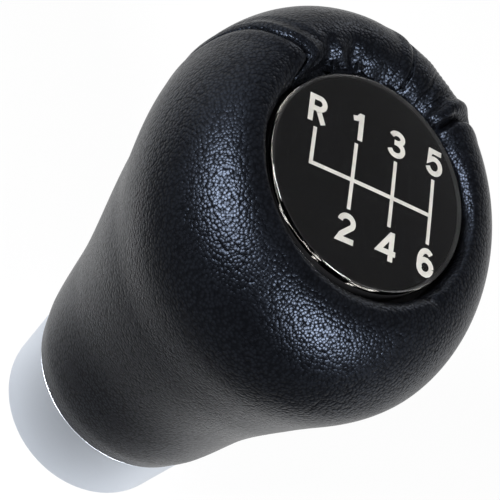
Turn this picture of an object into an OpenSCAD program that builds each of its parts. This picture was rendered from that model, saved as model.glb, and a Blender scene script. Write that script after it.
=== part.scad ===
// Gear shift knob: a leather covered, padded grip that pushes onto a round gear lever.
// All sizes are in millimetres. The origin is the centre of the collar's foot, +Z runs up the grip,
// +X is to the right of the shift pattern and the driver sits on the -Y side.

/* [Collar] */
// Height of the metal collar
collar_h = 15.4; // [13:0.1:20]
// Outside diameter of the collar where the leather begins
collar_top_d = 34; // [33.4:0.1:35]
// How much smaller the foot of the collar is, in radius
collar_taper = 0.9; // [0.1:0.1:1.5]
// Wall of the collar at its top, around the carrier
collar_wall = 3; // [2.8:0.1:3.2]
// How far the lip at the foot reaches in under the carrier
collar_lip_reach = 1.8; // [1.2:0.1:2.2]
// Thickness of that lip
collar_lip_t = 1.2; // [0.8:0.1:2]
// Bevel on the two outer edges of the collar
collar_bevel = 0.35; // [0.1:0.05:0.6]

/* [Carrier] */
// Wall of the carrier ring inside the collar
carrier_wall = 1.3; // [1:0.1:1.6]
// Thickness of the carrier's floor, which is screwed to the core
carrier_floor_t = 2.5; // [2:0.1:4]
// Number of screws that hold the carrier
carrier_screw_count = 3; // [2:1:3]
// Shank diameter of the carrier screws
carrier_screw_d = 2.5; // [2:0.1:2.6]
// Head diameter of the carrier screws
carrier_head_d = 4.2; // [3.6:0.1:4.4]
// How deep the carrier screws bite into the core
carrier_screw_bite = 8; // [5:0.5:9]

/* [Lever socket] */
// Diameter of the round gear lever
lever_d = 12; // [11:0.1:12.2]
// Clearance between the lever and the socket, across the diameter
lever_play = 0.1; // [0.05:0.01:0.2]
// How far the lever reaches into the socket
lever_depth = 37; // [30:0.5:40]
// Wall of the nylon socket
socket_wall = 1.85; // [1.6:0.05:1.95]
// Height of the slits that turn the socket's lower end into fingers
finger_h = 17; // [12:0.5:22]
// Width of the slits
slit_w = 1.2; // [0.8:0.1:1.6]
// Number of fingers
finger_count = 4; // [3:1:5]
// Radial thickness of the spring ring around the fingers
spring_t = 0.8; // [0.6:0.05:0.9]
// Height of the spring ring
spring_h = 4; // [2.5:0.5:6]
// Opening of the spring ring, in degrees
spring_gap = 50; // [30:5:80]
// Thickness of the rubber pad at the end of the socket
end_pad_t = 2; // [1.5:0.1:3]

/* [Grip body] */
// Rise of the foot swell above the collar
foot_rise = 4.6; // [3.5:0.1:6]
// Diameter of the grip at the foot swell
foot_d = 36.9; // [36:0.1:38]
// Rise of the slim part of the flank above the collar
waist_rise = 18.6; // [16:0.1:21]
// Diameter of the slim part of the flank
waist_d = 41.4; // [40.6:0.1:43]
// Rise of the upper flank above the collar
flank_rise = 36.6; // [34:0.1:39]
// Diameter of the upper flank
flank_d = 50.4; // [49:0.1:52]
// Rise of the widest part of the head above the collar
belly_rise = 51.9; // [50:0.1:53.5]
// Mean diameter of the widest part of the head
belly_d = 56.8; // [55:0.1:60]
// Rise of the roll around the dial above the collar
crest_rise = 65.7; // [64.5:0.1:68]
// Mean diameter of the roll around the dial
crest_d = 37.4; // [36.6:0.1:39]
// Width of the head over its mean diameter, with the depth larger by as much
head_slim = 0.934; // [0.92:0.002:1]
// Fullness of the shoulder, 1 being a quarter of an ellipse
shoulder_fullness = 1.08; // [0.95:0.01:1.2]
// Backward lean of the grip where it leaves the collar, in degrees
foot_lean = 2.6; // [0:0.1:4]
// How far the centre of the roll stands forward of the collar's axis
crest_shift = -0.15; // [-0.6:0.05:0.6]

/* [Dial] */
// Tilt of the dial towards the driver, in degrees
dial_tilt = 9.8; // [6:0.1:12]
// Diameter of the dial
dial_d = 31; // [29.5:0.1:31.6]
// Depth of the dial's edge under the top of the roll
dial_sink = 0.7; // [0.4:0.1:1.4]
// Distance from the middle of the roll to the middle of the dial, towards the driver
dial_back = 1.4; // [0.8:0.1:1.8]
// Height of the clear dome's straight edge
dome_edge_h = 0.9; // [0.6:0.1:1.2]
// Rise of the clear dome above its edge
dome_rise = 0.7; // [0.4:0.1:1.2]
// Thickness of the printed plate
plate_t = 0.8; // [0.5:0.1:1.2]
// Thickness of the adhesive disc under the plate
tape_t = 0.3; // [0.2:0.05:0.6]
// Thickness of the cup's floor
cup_floor_t = 2; // [1.5:0.1:2.5]
// Thickness of the cup's rim
cup_rim_t = 0.6; // [0.4:0.05:0.9]
// Number of snap legs under the cup
leg_count = 3; // [2:1:4]
// Width of a snap leg
leg_w = 5; // [4:0.5:6]
// Thickness of a snap leg
leg_t = 1.4; // [1.2:0.1:1.8]
// Reach of the barb on a snap leg
barb_reach = 0.8; // [0.5:0.1:1]

/* [Leather and padding] */
// Thickness of the leather
leather_t = 1.2; // [0.9:0.1:1.4]
// Thickness of the foam under the leather
foam_t = 2.4; // [1.8:0.1:2.6]
// Mean gap between the dial cup and the leather
lip_gap = 0.75; // [0.6:0.05:1]
// How much wider that gap is towards the driver than away from it, each way
lip_shift = 0.3; // [0:0.05:0.4]
// Depth of the leather's lip under the top of the roll
lip_drop = 2; // [1.5:0.1:2.5]
// Azimuth of the two seams on the flank, either way from the +Y side, in degrees
seam_spread = 60; // [50:1:64]
// How far each seam closes in on the other one at the dial, in degrees
seam_closing = 18; // [0:1:22]
// Depth of the seams on the head
seam_depth = 1; // [0.4:0.05:1.1]
// Height of the gathers and folds, over the height that they have in the list of folds
fold_scale = 1; // [0:0.05:1.2]

/* [Core] */
// Wall of the two moulded core halves
core_wall = 2.5; // [2:0.1:3]
// Wall of the tube that holds the lever socket
tube_wall = 2.4; // [2:0.1:2.8]
// Thickness of the core's ribs
rib_t = 1.8; // [1.4:0.1:2.4]
// Number of level ribs in the core
rib_count = 3; // [2:1:4]
// Height of the solid foot of the core
core_foot_h = 10; // [9.5:0.5:12]
// Thickness of the seat under the dial
seat_t = 2.5; // [2:0.1:3]
// Shank diameter of the screws that join the core halves
core_screw_d = 2.2; // [2:0.1:2.6]
// Head diameter of the screws that join the core halves
core_head_d = 4.4; // [4:0.1:4.8]
// Diameter of the locating pins between the core halves
pin_d = 2.4; // [2:0.1:2.8]

/* [Hidden] */
$fn = 96;

// A cut runs past the surface that it opens by this much
over = 1;
// Running clearance between moulded pieces
fit = 0.1;

// Radii of the collar, carrier and socket
collar_top_r = collar_top_d / 2;
collar_base_r = collar_top_r - collar_taper;
collar_bore_r = collar_top_r - collar_wall;
collar_mouth_r = collar_bore_r - collar_lip_reach;
carrier_r = collar_bore_r - fit;
carrier_bore_r = carrier_r - carrier_wall;
lever_bore_r = (lever_d + lever_play) / 2;
socket_r = lever_bore_r + socket_wall;
socket_z = collar_h - carrier_floor_t;
socket_top = socket_z + lever_depth;
socket_lead = 0.8;
spring_groove = 0.5;
spring_r = socket_r - spring_groove + spring_t;
spring_rise = 3.2;
spring_z = collar_h + spring_rise;
spring_room_r = spring_r + 2 * fit;
socket_flange_r = spring_room_r - fit;
socket_flange_t = 2;
key_w = 2;
key_root = 0.5;
key_h = 10;
key_reach = 1.1;
key_drop = 2;
key_z = socket_top - key_h - key_drop;
tube_bore_r = socket_r + fit;
tube_r = tube_bore_r + tube_wall;
pad_top = socket_top + end_pad_t;
tube_top = pad_top + tube_wall;
carrier_circle_r = (socket_r + carrier_bore_r) / 2;
screw_head_h = 1.8;
hexagon_depth = 1;
screw_tip_gap = 1;
spring_slack = 1;

// Radii and heights of the grip's stations, and the slope of its outline at each
station_z = [0, foot_rise, waist_rise, flank_rise, belly_rise] + [for (i = [0:4]) collar_h];
station_r = [collar_top_d, foot_d, waist_d, flank_d, belly_d] / 2;
station_m = [
    for (i = [0:4])
        i == 0 ? chord(0, 1)
        : i == 4 ? 0
        : chord(i - 1, i + 1)
];
belly_z = station_z[4];
belly_r = station_r[4];
crest_z = collar_h + crest_rise;
crest_r = crest_d / 2;
slim_rise = 38.6;
tilt_power = 2.5;
spine_h = crest_rise;

// The dial's place, from the middle of the roll
dial_y = crest_shift - dial_back * cos(dial_tilt) + dial_sink * sin(dial_tilt);
dial_z = crest_z - dial_back * sin(dial_tilt) - dial_sink * cos(dial_tilt);
dial_r = dial_d / 2;
tape_w = -dome_edge_h - plate_t;
floor_w = tape_w - tape_t;
seat_w = floor_w - cup_floor_t;
lip_r = dial_r + lip_gap;
lip_w = dial_sink - lip_drop;
seat_r = lip_r + lip_shift + leather_t + 2 * fit;

// Levels of the core
neck_h = 1.2;
shoulder_drop = 3.5;
shoulder_run = 3.4;
roof_t = 3;
core_top = dial_z + seat_w * cos(dial_tilt) - seat_r * sin(dial_tilt) - neck_h;
shoulder_z = core_top - shoulder_drop;
head_room_top = core_top - roof_t;
foot_top = collar_h + core_foot_h;
rib_pitch = (head_room_top - foot_top) / (rib_count + 1);
core_steps = 5;
core_levels = [for (i = [0:core_steps]) collar_h + i * (shoulder_z - collar_h) / core_steps];
core_profile = [for (z = core_levels) [z, core_radius(z)]];
leg_circle_r = 9;
leg_root = 0.5;
leg_drop = 2.6;
barb_drop = 0.8;
pocket_margin = 1.8;
pocket_r = leg_circle_r + leg_t + barb_reach + pocket_margin;
seat_block_h = 8;
pocket_h = 8.5;
room_margin = 0.5;
upright_count = 3;

// Screws and pins beside the lever tube: distance from the axis, height and half length of the shank
low_screw_reach = 5;
high_screw_reach = 10;
high_screw_gap = 2.5;
high_screw_rise = 3.2;
screw_y = tube_r + core_head_d / 2 - fit;
low_screw = [screw_y, foot_top + rib_pitch * 1.5, low_screw_reach];
high_screw_z = foot_top + rib_pitch * rib_count + high_screw_rise;
high_screw = [screw_y + high_screw_gap, high_screw_z, high_screw_reach];
pin_z = foot_top + rib_pitch / 2;
pin_place = [(tube_r + core_radius(pin_z) - core_wall) / 2, pin_z];
pin_reach = 3;
boss_wall = 1.5;

// The leather's grid: rings up the flank, over the shoulder, round the roll and down to the seat
flank_rings = 14;
shoulder_rings = 8;
roll_rings = 5;
front_columns = 64;
back_columns = 40;
stages = [
    for (i = [0:flank_rings - 1]) i / flank_rings,
    for (i = [0:shoulder_rings - 1]) 1 + i / shoulder_rings,
    for (i = [0:roll_rings - 1]) 2 + i / roll_rings,
    3,
    4,
];
last_ring = len(stages) - 1;
// How far the foam's form runs on under the dial's seat, in stages, before the core is cut from it
seat_overlap = 0.1;
// Half the width of a seam's groove, in degrees
seam_half_width = 4.5;
// Depth of the seams on the flank, as a share of their depth on the head
flat_seam = 0.35;
// Stage where the seams are deepest, and the stages that they take to get there
deep_stage = 1.8;
deep_run = 1.6;
// Stages that the seams take to close in, from the belly on
closing_run = 1.8;

// Folds of the leather, with the seams taken as straight: azimuth, half width in degrees, height,
// middle stage and half length in stages
folds = [
    [143, 6, 0.5, 2.1, 0.9],
    [132, 6, -0.55, 2.25, 0.75],
    [121, 6, 0.45, 2.35, 0.65],
    [112, 6, -0.6, 2.3, 0.7],
    [95, 11, 0.35, 2.2, 0.8],
    [86, 6, 0.4, 1.9, 0.7],
    [76, 5, -0.9, 2.1, 0.9],
    [66, 6, 0.4, 2.2, 0.8],
    [49, 5, -0.75, 2.2, 0.8],
    [39, 7, 0.5, 1.8, 0.7],
    [22, 7, 0.25, 1.8, 0.7],
    [306, 5, -0.35, 2.3, 0.5],
];

// Slope of the line between two stations
function chord(a, b) = (station_r[b] - station_r[a]) / (station_z[b] - station_z[a]);

// A smooth bump, 1 in the middle and 0 from a distance of 1 on
function bump(x) = abs(x) >= 1 ? 0 : pow(1 - x * x, 2);

// A smooth step from 0 to 1
function ease(x) = let(t = min(1, max(0, x))) t * t * (3 - 2 * t);

// Radius of the outline at a height, a cubic through the stations and a rounded shoulder above the belly
function body_radius(z) =
    z >= belly_z
    ? let(rise = min(1, (z - belly_z) / (crest_z - belly_z)))
        shoulder_radius(asin(pow(rise, 1 / shoulder_fullness)))
    : let(
        i = z < station_z[1] ? 0 : z < station_z[2] ? 1 : z < station_z[3] ? 2 : 3,
        span = station_z[i + 1] - station_z[i],
        t = (z - station_z[i]) / span
    )
    (2 * pow(t, 3) - 3 * t * t + 1) * station_r[i]
    + (pow(t, 3) - 2 * t * t + t) * span * station_m[i]
    + (3 * t * t - 2 * pow(t, 3)) * station_r[i + 1]
    + (pow(t, 3) - t * t) * span * station_m[i + 1];

// Radius of the shoulder at an angle from the belly, 0, to the roll, 90
function shoulder_radius(a) = crest_r + (belly_r - crest_r) * pow(cos(a), shoulder_fullness);

// Width over mean diameter at a height: round at the collar and slimmer at the head
function slim(z) = 1 + (head_slim - 1) * min(1, (z - collar_h) / slim_rise);

// Radius of the core at a height, under the leather and the foam at the slimmer side
function core_radius(z) = body_radius(z) * slim(z) - leather_t - foam_t;

// The spine: how far forward the middle of the grip lies at a height
function spine(z) =
    let(u = (z - collar_h) / spine_h)
    (pow(u, 3) - 2 * u * u + u) * spine_h * tan(foot_lean)
    + (3 * u * u - 2 * pow(u, 3)) * crest_shift
    - (pow(u, 3) - u * u) * spine_h * tan(dial_tilt);

// Tilt of the section at a height, level at the collar and parallel to the dial at the roll
function section_tilt(z) = dial_tilt * pow((z - collar_h) / spine_h, tilt_power);

// Outline of the flank and shoulder at a stage from 0 to 2, as radius and height
function outline(stage) =
    stage <= 1
    ? let(z = collar_h + stage * belly_rise) [body_radius(z), z]
    : let(a = min(90, (stage - 1) * 90))
        [shoulder_radius(a), belly_z + (crest_z - belly_z) * pow(sin(a), shoulder_fullness)];

// The outline taken in by a depth, square to itself
function inset(stage, depth) =
    let(
        p = outline(stage),
        step = 0.01,
        q = outline(min(2, stage + step)) - outline(max(0, stage - step)),
        n = stage == 0 ? [1, 0] : stage >= 2 ? [0, 1] : [q[1], -q[0]] / norm(q)
    )
    p - n * depth;

// A ring of the grip at a stage and depth: middle y and z, tilt, half width and half depth
function ring(stage, depth) =
    stage <= 2
    ? let(p = inset(stage, depth), s = slim(min(p[1], crest_z)))
        [spine(p[1]), p[1], section_tilt(max(collar_h, p[1])), p[0] * s, p[0] / s]
    : let(
        a = min(90, (stage - 2) * 90),
        s = head_slim,
        drop = stage <= 3 ? lip_drop * (1 - cos(a)) : (dial_sink - lip_w) + (lip_w - seat_w) * (stage - 3),
        w = dial_sink - depth * (stage <= 3 ? cos(a) : 0) - drop,
        v = dial_back * (1 - sin(a)) - lip_shift * sin(a),
        inner_r = lip_r + depth
    )
        [
            dial_y + v * cos(dial_tilt) - w * sin(dial_tilt),
            dial_z + v * sin(dial_tilt) + w * cos(dial_tilt),
            dial_tilt,
            crest_r * s + (inner_r - crest_r * s) * sin(a),
            crest_r / s + (inner_r - crest_r / s) * sin(a),
        ];

// A point on a ring at an azimuth
function on_ring(r, azimuth) = [
    r[3] * cos(azimuth),
    r[0] + r[4] * sin(azimuth) * cos(r[2]),
    r[1] + r[4] * sin(azimuth) * sin(r[2]),
];

// Angle between each seam and the +Y side at a stage, and so the azimuths of the seams
function seam_angle(stage) = seam_spread - seam_closing * ease((stage - 1) / closing_run);
function seam_right(stage) = 90 - seam_angle(stage);
function seam_left(stage) = 90 + seam_angle(stage);

// Azimuth of a column of the back panel and of the front panel
function back_azimuth(stage, share) = seam_right(stage) + (seam_left(stage) - seam_right(stage)) * share;
function front_azimuth(stage, share) =
    seam_left(stage) + (360 + seam_right(stage) - seam_left(stage)) * share;

// Height of the leather over its smooth form: the folds, less the grooves of the seams.
// Below the lip it stays as it is at the lip.
function lift(stage, panel_azimuth) =
    let(
        s = min(stage, 3),
        a = panel_azimuth >= 360 ? panel_azimuth - 360 : panel_azimuth,
        groove = seam_depth * (flat_seam + (1 - flat_seam) * bump((s - deep_stage) / deep_run)),
        seams = bump((a - 90 + seam_spread) / seam_half_width)
            + bump((a - 90 - seam_spread) / seam_half_width),
        gathers = [for (f = folds) f[2] * bump((a - f[0]) / f[1]) * bump((s - f[3]) / f[4])]
    )
    fold_scale * (gathers * [for (f = folds) 1]) - groove * seams;

// A point of the leather at a stage, at a share of the way across the back or the front panel
function leather_point(stage, share, back, depth) =
    let(
        azimuth = back ? back_azimuth(stage, share) : front_azimuth(stage, share),
        straight = back
            ? 90 - seam_spread + 2 * seam_spread * share
            : 90 + seam_spread + (360 - 2 * seam_spread) * share
    )
    on_ring(ring(stage, depth - lift(stage, straight)), azimuth);

// Two triangles for each cell of a grid that starts at a point number, facing out or in
function grid_faces(first, rows, columns, outward) = [
    for (i = [0:rows - 1], j = [0:columns - 1])
        let(
            a = first + i * (columns + 1) + j,
            b = a + 1,
            d = a + columns + 1,
            c = d + 1
        )
        each outward ? [[a, d, c], [a, c, b]] : [[a, c, d], [a, b, c]]
];

// A strip that joins an edge to one with half as many cells
function strip_faces(fine, coarse, forward) = [
    for (k = [0:len(coarse) - 2])
        let(
            f0 = fine[2 * k],
            f1 = fine[2 * k + 1],
            f2 = fine[2 * k + 2],
            c0 = coarse[k],
            c1 = coarse[k + 1]
        )
        each forward
            ? [[f0, f1, c0], [f1, c1, c0], [f1, f2, c1]]
            : [[f1, f0, c0], [c1, f1, c0], [f2, f1, c1]]
];

// A shell of leather between two seams, fine outside and half as fine inside
module leather_shell(columns, back) {
    half_rings = last_ring / 2;
    half_columns = columns / 2;
    outer = [for (s = stages, j = [0:columns]) leather_point(s, j / columns, back, 0)];
    inner = [
        for (i = [0:half_rings], j = [0:half_columns])
            leather_point(stages[2 * i], j / half_columns, back, leather_t)
    ];
    base = len(outer);
    row = columns + 1;
    half_row = half_columns + 1;
    bottom = [for (j = [0:columns]) j];
    top = [for (j = [0:columns]) last_ring * row + j];
    start = [for (i = [0:last_ring]) i * row];
    finish = [for (i = [0:last_ring]) i * row + columns];
    inner_bottom = [for (j = [0:half_columns]) base + j];
    inner_top = [for (j = [0:half_columns]) base + half_rings * half_row + j];
    inner_start = [for (i = [0:half_rings]) base + i * half_row];
    inner_finish = [for (i = [0:half_rings]) base + i * half_row + half_columns];
    polyhedron(
        points = concat(outer, inner),
        faces = concat(
            grid_faces(0, last_ring, columns, true),
            grid_faces(base, half_rings, half_columns, false),
            strip_faces(bottom, inner_bottom, true),
            strip_faces(top, inner_top, false),
            strip_faces(start, inner_start, false),
            strip_faces(finish, inner_finish, true)
        ),
        convexity = 6
    );
}

// The solid inside the leather, closed flat on the collar and a little under the dial's seat
module leather_filling() {
    half_rings = last_ring / 2;
    back_half = back_columns / 2;
    front_half = front_columns / 2;
    around = back_half + front_half;
    rings = [for (i = [0:half_rings - 1]) stages[2 * i], 4 + seat_overlap];
    walls = [
        for (s = rings, j = [0:around - 1])
            let(back = j < back_half)
            leather_point(s, back ? j / back_half : (j - back_half) / front_half, back, leather_t)
    ];
    cells = [
        for (i = [0:half_rings - 1], j = [0:around - 1])
            let(
                a = i * around + j,
                b = i * around + (j + 1) % around,
                d = a + around,
                c = b + around
            )
            each [[a, d, c], [a, c, b]]
    ];
    floor_face = [for (j = [0:around - 1]) j];
    roof_face = [for (j = [around - 1:-1:0]) half_rings * around + j];
    polyhedron(points = walls, faces = concat(cells, [floor_face, roof_face]), convexity = 6);
}

// Places what belongs to the dial: its edge is at height 0 and +Z leaves the dial
module on_dial() {
    translate([0, dial_y, dial_z])
        rotate([dial_tilt, 0, 0])
            children();
}

// Repeats a piece around the axis
module around(count) {
    for (i = [0:count - 1])
        rotate([0, 0, i * 360 / count])
            children();
}

module collar() {
    color("#cfd4dc")
        rotate_extrude()
            polygon([
                [collar_mouth_r, 0],
                [collar_base_r - collar_bevel, 0],
                [collar_base_r, collar_bevel],
                [collar_top_r, collar_h - collar_bevel],
                [collar_top_r - collar_bevel, collar_h],
                [collar_bore_r, collar_h],
                [collar_bore_r, collar_lip_t],
                [collar_mouth_r, collar_lip_t],
            ]);
}

module collar_carrier() {
    color("#1d1d1f")
        difference() {
            translate([0, 0, collar_lip_t])
                cylinder(h = collar_h - collar_lip_t, r = carrier_r);
            translate([0, 0, collar_lip_t - over])
                cylinder(h = socket_z - collar_lip_t + over, r = carrier_bore_r);
            cylinder(h = collar_h + over, r = socket_r + fit);
            around(carrier_screw_count)
                translate([carrier_circle_r, 0, 0])
                    cylinder(h = collar_h + over, r = carrier_screw_d / 2 + fit, $fn = 48);
        }
}

module carrier_screws() {
    color("#9a9ca0")
        around(carrier_screw_count)
            translate([carrier_circle_r, 0, 0])
                difference() {
                    union() {
                        translate([0, 0, socket_z - screw_head_h])
                            cylinder(h = screw_head_h, r = carrier_head_d / 2, $fn = 48);
                        translate([0, 0, socket_z])
                            cylinder(
                                h = carrier_floor_t + carrier_screw_bite,
                                r = carrier_screw_d / 2,
                                $fn = 48
                            );
                    }
                    translate([0, 0, socket_z - screw_head_h - over])
                        cylinder(h = over + hexagon_depth, r = carrier_screw_d / 2, $fn = 6);
                }
}

module lever_socket() {
    color("#e4e0d4")
        difference() {
            union() {
                rotate_extrude()
                    polygon([
                        [lever_bore_r + socket_lead, socket_z],
                        [socket_r, socket_z],
                        [socket_r, collar_h],
                        [socket_flange_r, collar_h],
                        [socket_flange_r, collar_h + socket_flange_t],
                        [socket_r, collar_h + socket_flange_t],
                        [socket_r, spring_z],
                        [socket_r - spring_groove, spring_z],
                        [socket_r - spring_groove, spring_z + spring_h],
                        [socket_r, spring_z + spring_h],
                        [socket_r, socket_top],
                        [lever_bore_r, socket_top],
                        [lever_bore_r, socket_z + socket_lead],
                    ]);
                translate([lever_bore_r + key_root, -key_w / 2, key_z])
                    cube([socket_r + key_reach - lever_bore_r - key_root, key_w, key_h]);
            }
            for (i = [0:finger_count - 1])
                rotate([0, 0, (i + 0.5) * 360 / finger_count])
                    translate([0, -slit_w / 2, socket_z - over])
                        cube([socket_flange_r + over, slit_w, finger_h + over]);
        }
}

module socket_spring() {
    color("#8d9096")
        rotate([0, 0, 90 + spring_gap / 2])
            rotate_extrude(angle = 360 - spring_gap)
                translate([socket_r - spring_groove, spring_z + fit])
                    square([spring_t, spring_h - 2 * fit]);
}

module end_pad() {
    color("#26262a")
        translate([0, 0, socket_top])
            difference() {
                cylinder(h = end_pad_t, r = socket_r);
                translate([0, 0, -over])
                    cylinder(h = over + end_pad_t / 2, r = lever_bore_r / 2);
            }
}

// The outside of the core: a bottle under the foam, with the tilted seat of the dial on top
module core_envelope() {
    rotate_extrude()
        polygon(concat(
            [[0, collar_h]],
            [for (p = core_profile) [p[1], p[0]]],
            [[core_profile[core_steps][1] - shoulder_run, core_top], [0, core_top]]
        ));
    on_dial()
        translate([0, 0, seat_w - seat_block_h])
            cylinder(h = seat_block_h, r = seat_r);
}

// One hollow of the core, between two levels
module core_room(low, high) {
    between = [for (z = core_levels) if (z > low + room_margin && z < high - room_margin) z];
    levels = concat([low], between, [high]);
    rotate_extrude()
        polygon(concat(
            [[0, low]],
            [for (z = levels) [lookup(z, core_profile) - core_wall, z]],
            [[0, high]]
        ));
}

// What is taken out of the core: the rooms between its ribs and the pocket under the dial's seat
module core_rooms() {
    for (i = [0:rib_count])
        core_room(
            foot_top + i * rib_pitch + (i == 0 ? 0 : rib_t / 2),
            foot_top + (i + 1) * rib_pitch - (i == rib_count ? 0 : rib_t / 2)
        );
    on_dial()
        translate([0, 0, seat_w - seat_t - pocket_h])
            cylinder(h = pocket_h, r = pocket_r);
}

// A bar across both core halves for a screw or a pin
module boss(place, r) {
    for (side = [-1, 1])
        translate([-belly_r, side * place[0], place[1]])
            rotate([0, 90, 0])
                cylinder(h = 2 * belly_r, r = r, $fn = 48);
}

// What stands inside the core: the tube of the lever socket, upright ribs and the bosses
module core_inside() {
    translate([0, 0, foot_top - over])
        cylinder(h = tube_top - foot_top + over, r = tube_r);
    intersection() {
        union() {
            for (i = [0:upright_count - 1])
                rotate([0, 0, i * 180 / upright_count])
                    translate([-belly_r, -rib_t / 2, foot_top - over])
                        cube([2 * belly_r, rib_t, rib_pitch * rib_count + over]);
            boss(low_screw, core_screw_d / 2 + boss_wall);
            boss(high_screw, core_screw_d / 2 + boss_wall);
            boss(pin_place, pin_d / 2 + boss_wall);
        }
        core_envelope();
    }
}

// Both core halves in one
module core_whole() {
    difference() {
        union() {
            difference() {
                core_envelope();
                core_rooms();
            }
            core_inside();
        }
        // The socket, its spring and its end pad
        translate([0, 0, collar_h - over])
            cylinder(h = pad_top - collar_h + over, r = tube_bore_r);
        translate([0, 0, collar_h - over])
            cylinder(h = spring_z + spring_h + spring_slack - collar_h + over, r = spring_room_r);
        translate([0, -key_w / 2 - fit, key_z - fit])
            cube([socket_r + key_reach + fit, key_w + 2 * fit, key_h + 2 * fit]);
        // The carrier screws
        around(carrier_screw_count)
            translate([carrier_circle_r, 0, collar_h - over])
                cylinder(h = over + carrier_screw_bite + screw_tip_gap, r = carrier_screw_d / 2, $fn = 48);
        // The dial's snap legs
        on_dial()
            around(leg_count)
                translate([leg_circle_r - fit, -leg_w / 2 - fit, seat_w - seat_t - over])
                    cube([leg_t + barb_reach + 2 * fit, leg_w + 2 * fit, seat_t + 2 * over]);
    }
}

// Screw places on both sides of the lever tube
module at_screws() {
    for (place = [low_screw, high_screw], side = [-1, 1])
        translate([0, side * place[0], place[1]])
            rotate([0, 90, 0])
                children();
}

module core_left() {
    color("#303034")
        difference() {
            intersection() {
                core_whole();
                translate([-2 * belly_r, -belly_r, 0])
                    cube([2 * belly_r, 2 * belly_r, 2 * belly_z]);
            }
            for (place = [low_screw, high_screw], side = [-1, 1])
                translate([0, side * place[0], place[1]]) {
                    rotate([0, -90, 0])
                        cylinder(h = place[2] + over, r = core_screw_d / 2 + fit, $fn = 48);
                    translate([-place[2], 0, 0])
                        rotate([0, -90, 0])
                            cylinder(h = belly_r, r = core_head_d / 2 + fit, $fn = 48);
                }
            for (side = [-1, 1])
                translate([over, side * pin_place[0], pin_place[1]])
                    rotate([0, -90, 0])
                        cylinder(h = pin_reach + over + 3 * fit, r = pin_d / 2 + fit, $fn = 48);
        }
}

module core_right() {
    color("#303034") {
        difference() {
            intersection() {
                core_whole();
                translate([0, -belly_r, 0])
                    cube([2 * belly_r, 2 * belly_r, 2 * belly_z]);
            }
            for (place = [low_screw, high_screw], side = [-1, 1])
                translate([-over, side * place[0], place[1]])
                    rotate([0, 90, 0])
                        cylinder(h = over + place[2] + screw_tip_gap, r = core_screw_d / 2, $fn = 48);
        }
        for (side = [-1, 1])
            translate([over, side * pin_place[0], pin_place[1]])
                rotate([0, -90, 0])
                    cylinder(h = pin_reach + over, r = pin_d / 2, $fn = 48);
    }
}

module core_screws() {
    color("#9a9ca0")
        for (place = [low_screw, high_screw], side = [-1, 1])
            translate([-place[2], side * place[0], place[1]]) {
                rotate([0, 90, 0])
                    cylinder(h = 2 * place[2], r = core_screw_d / 2, $fn = 48);
                difference() {
                    rotate([0, -90, 0])
                        cylinder(h = screw_head_h, r = core_head_d / 2, $fn = 48);
                    translate([-screw_head_h - over, 0, 0])
                        rotate([0, 90, 0])
                            cylinder(h = over + hexagon_depth, r = core_screw_d / 2, $fn = 6);
                }
            }
}

module padding() {
    color("#5a5a5e")
        difference() {
            leather_filling();
            core_envelope();
        }
}

module leather_front() {
    color("#17181c")
        leather_shell(front_columns, false);
}

module leather_back() {
    color("#1b1c21")
        leather_shell(back_columns, true);
}

module dial_cup() {
    color("#0f0f10")
        on_dial() {
            translate([0, 0, seat_w])
                difference() {
                    cylinder(h = -dome_edge_h - seat_w, r = dial_r);
                    translate([0, 0, cup_floor_t])
                        cylinder(h = -seat_w, r = dial_r - cup_rim_t);
                }
            around(leg_count)
                translate([leg_circle_r, leg_w / 2, seat_w])
                    rotate([90, 0, 0])
                        linear_extrude(leg_w)
                            polygon([
                                [0, leg_root],
                                [0, -seat_t - leg_drop],
                                [leg_t, -seat_t - leg_drop],
                                [leg_t + barb_reach, -seat_t - barb_drop],
                                [leg_t + barb_reach, -seat_t - fit],
                                [leg_t, -seat_t - fit],
                                [leg_t, leg_root],
                            ]);
        }
}

module dial_tape() {
    color("#3c3c40")
        on_dial()
            translate([0, 0, floor_w])
                cylinder(h = tape_t, r = dial_r - cup_rim_t - 5 * fit);
}

module dial_plate() {
    color("#101011")
        on_dial()
            translate([0, 0, tape_w])
                cylinder(h = plate_t, r = dial_r - cup_rim_t - fit);
}

module dial_dome() {
    dome_radius = (dial_r * dial_r + dome_rise * dome_rise) / (2 * dome_rise);
    color("#e8f0f4", 0.3)
        on_dial()
            intersection() {
                translate([0, 0, -dome_edge_h])
                    cylinder(h = dome_edge_h + dome_rise + over, r = dial_r);
                translate([0, 0, dome_rise - dome_radius])
                    sphere(r = dome_radius, $fn = 256);
            }
}

collar();
collar_carrier();
carrier_screws();
lever_socket();
socket_spring();
end_pad();
core_left();
core_right();
core_screws();
padding();
leather_front();
leather_back();
dial_cup();
dial_tape();
dial_plate();
dial_dome();
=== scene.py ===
# %% [markdown]
# # A leather gear shift knob
# This file dresses the solid model of a gear shift knob for a picture. The knob has a satin metal collar,
# a padded grip in fine pebbled black leather and a round, glossy dial with a shift pattern.
# It is written as a lesson: before each step a short text says what the piece is on the real knob, how it
# could be made, and why it is made this way. Everything is in metres, in the frame of the solid model: the
# origin is the centre of the collar's foot, +Z runs up the grip, and the driver sits on the -Y side.

# %% Load the solid model
import math

import bpy
import numpy as np
from mathutils import Matrix, Vector


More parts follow.
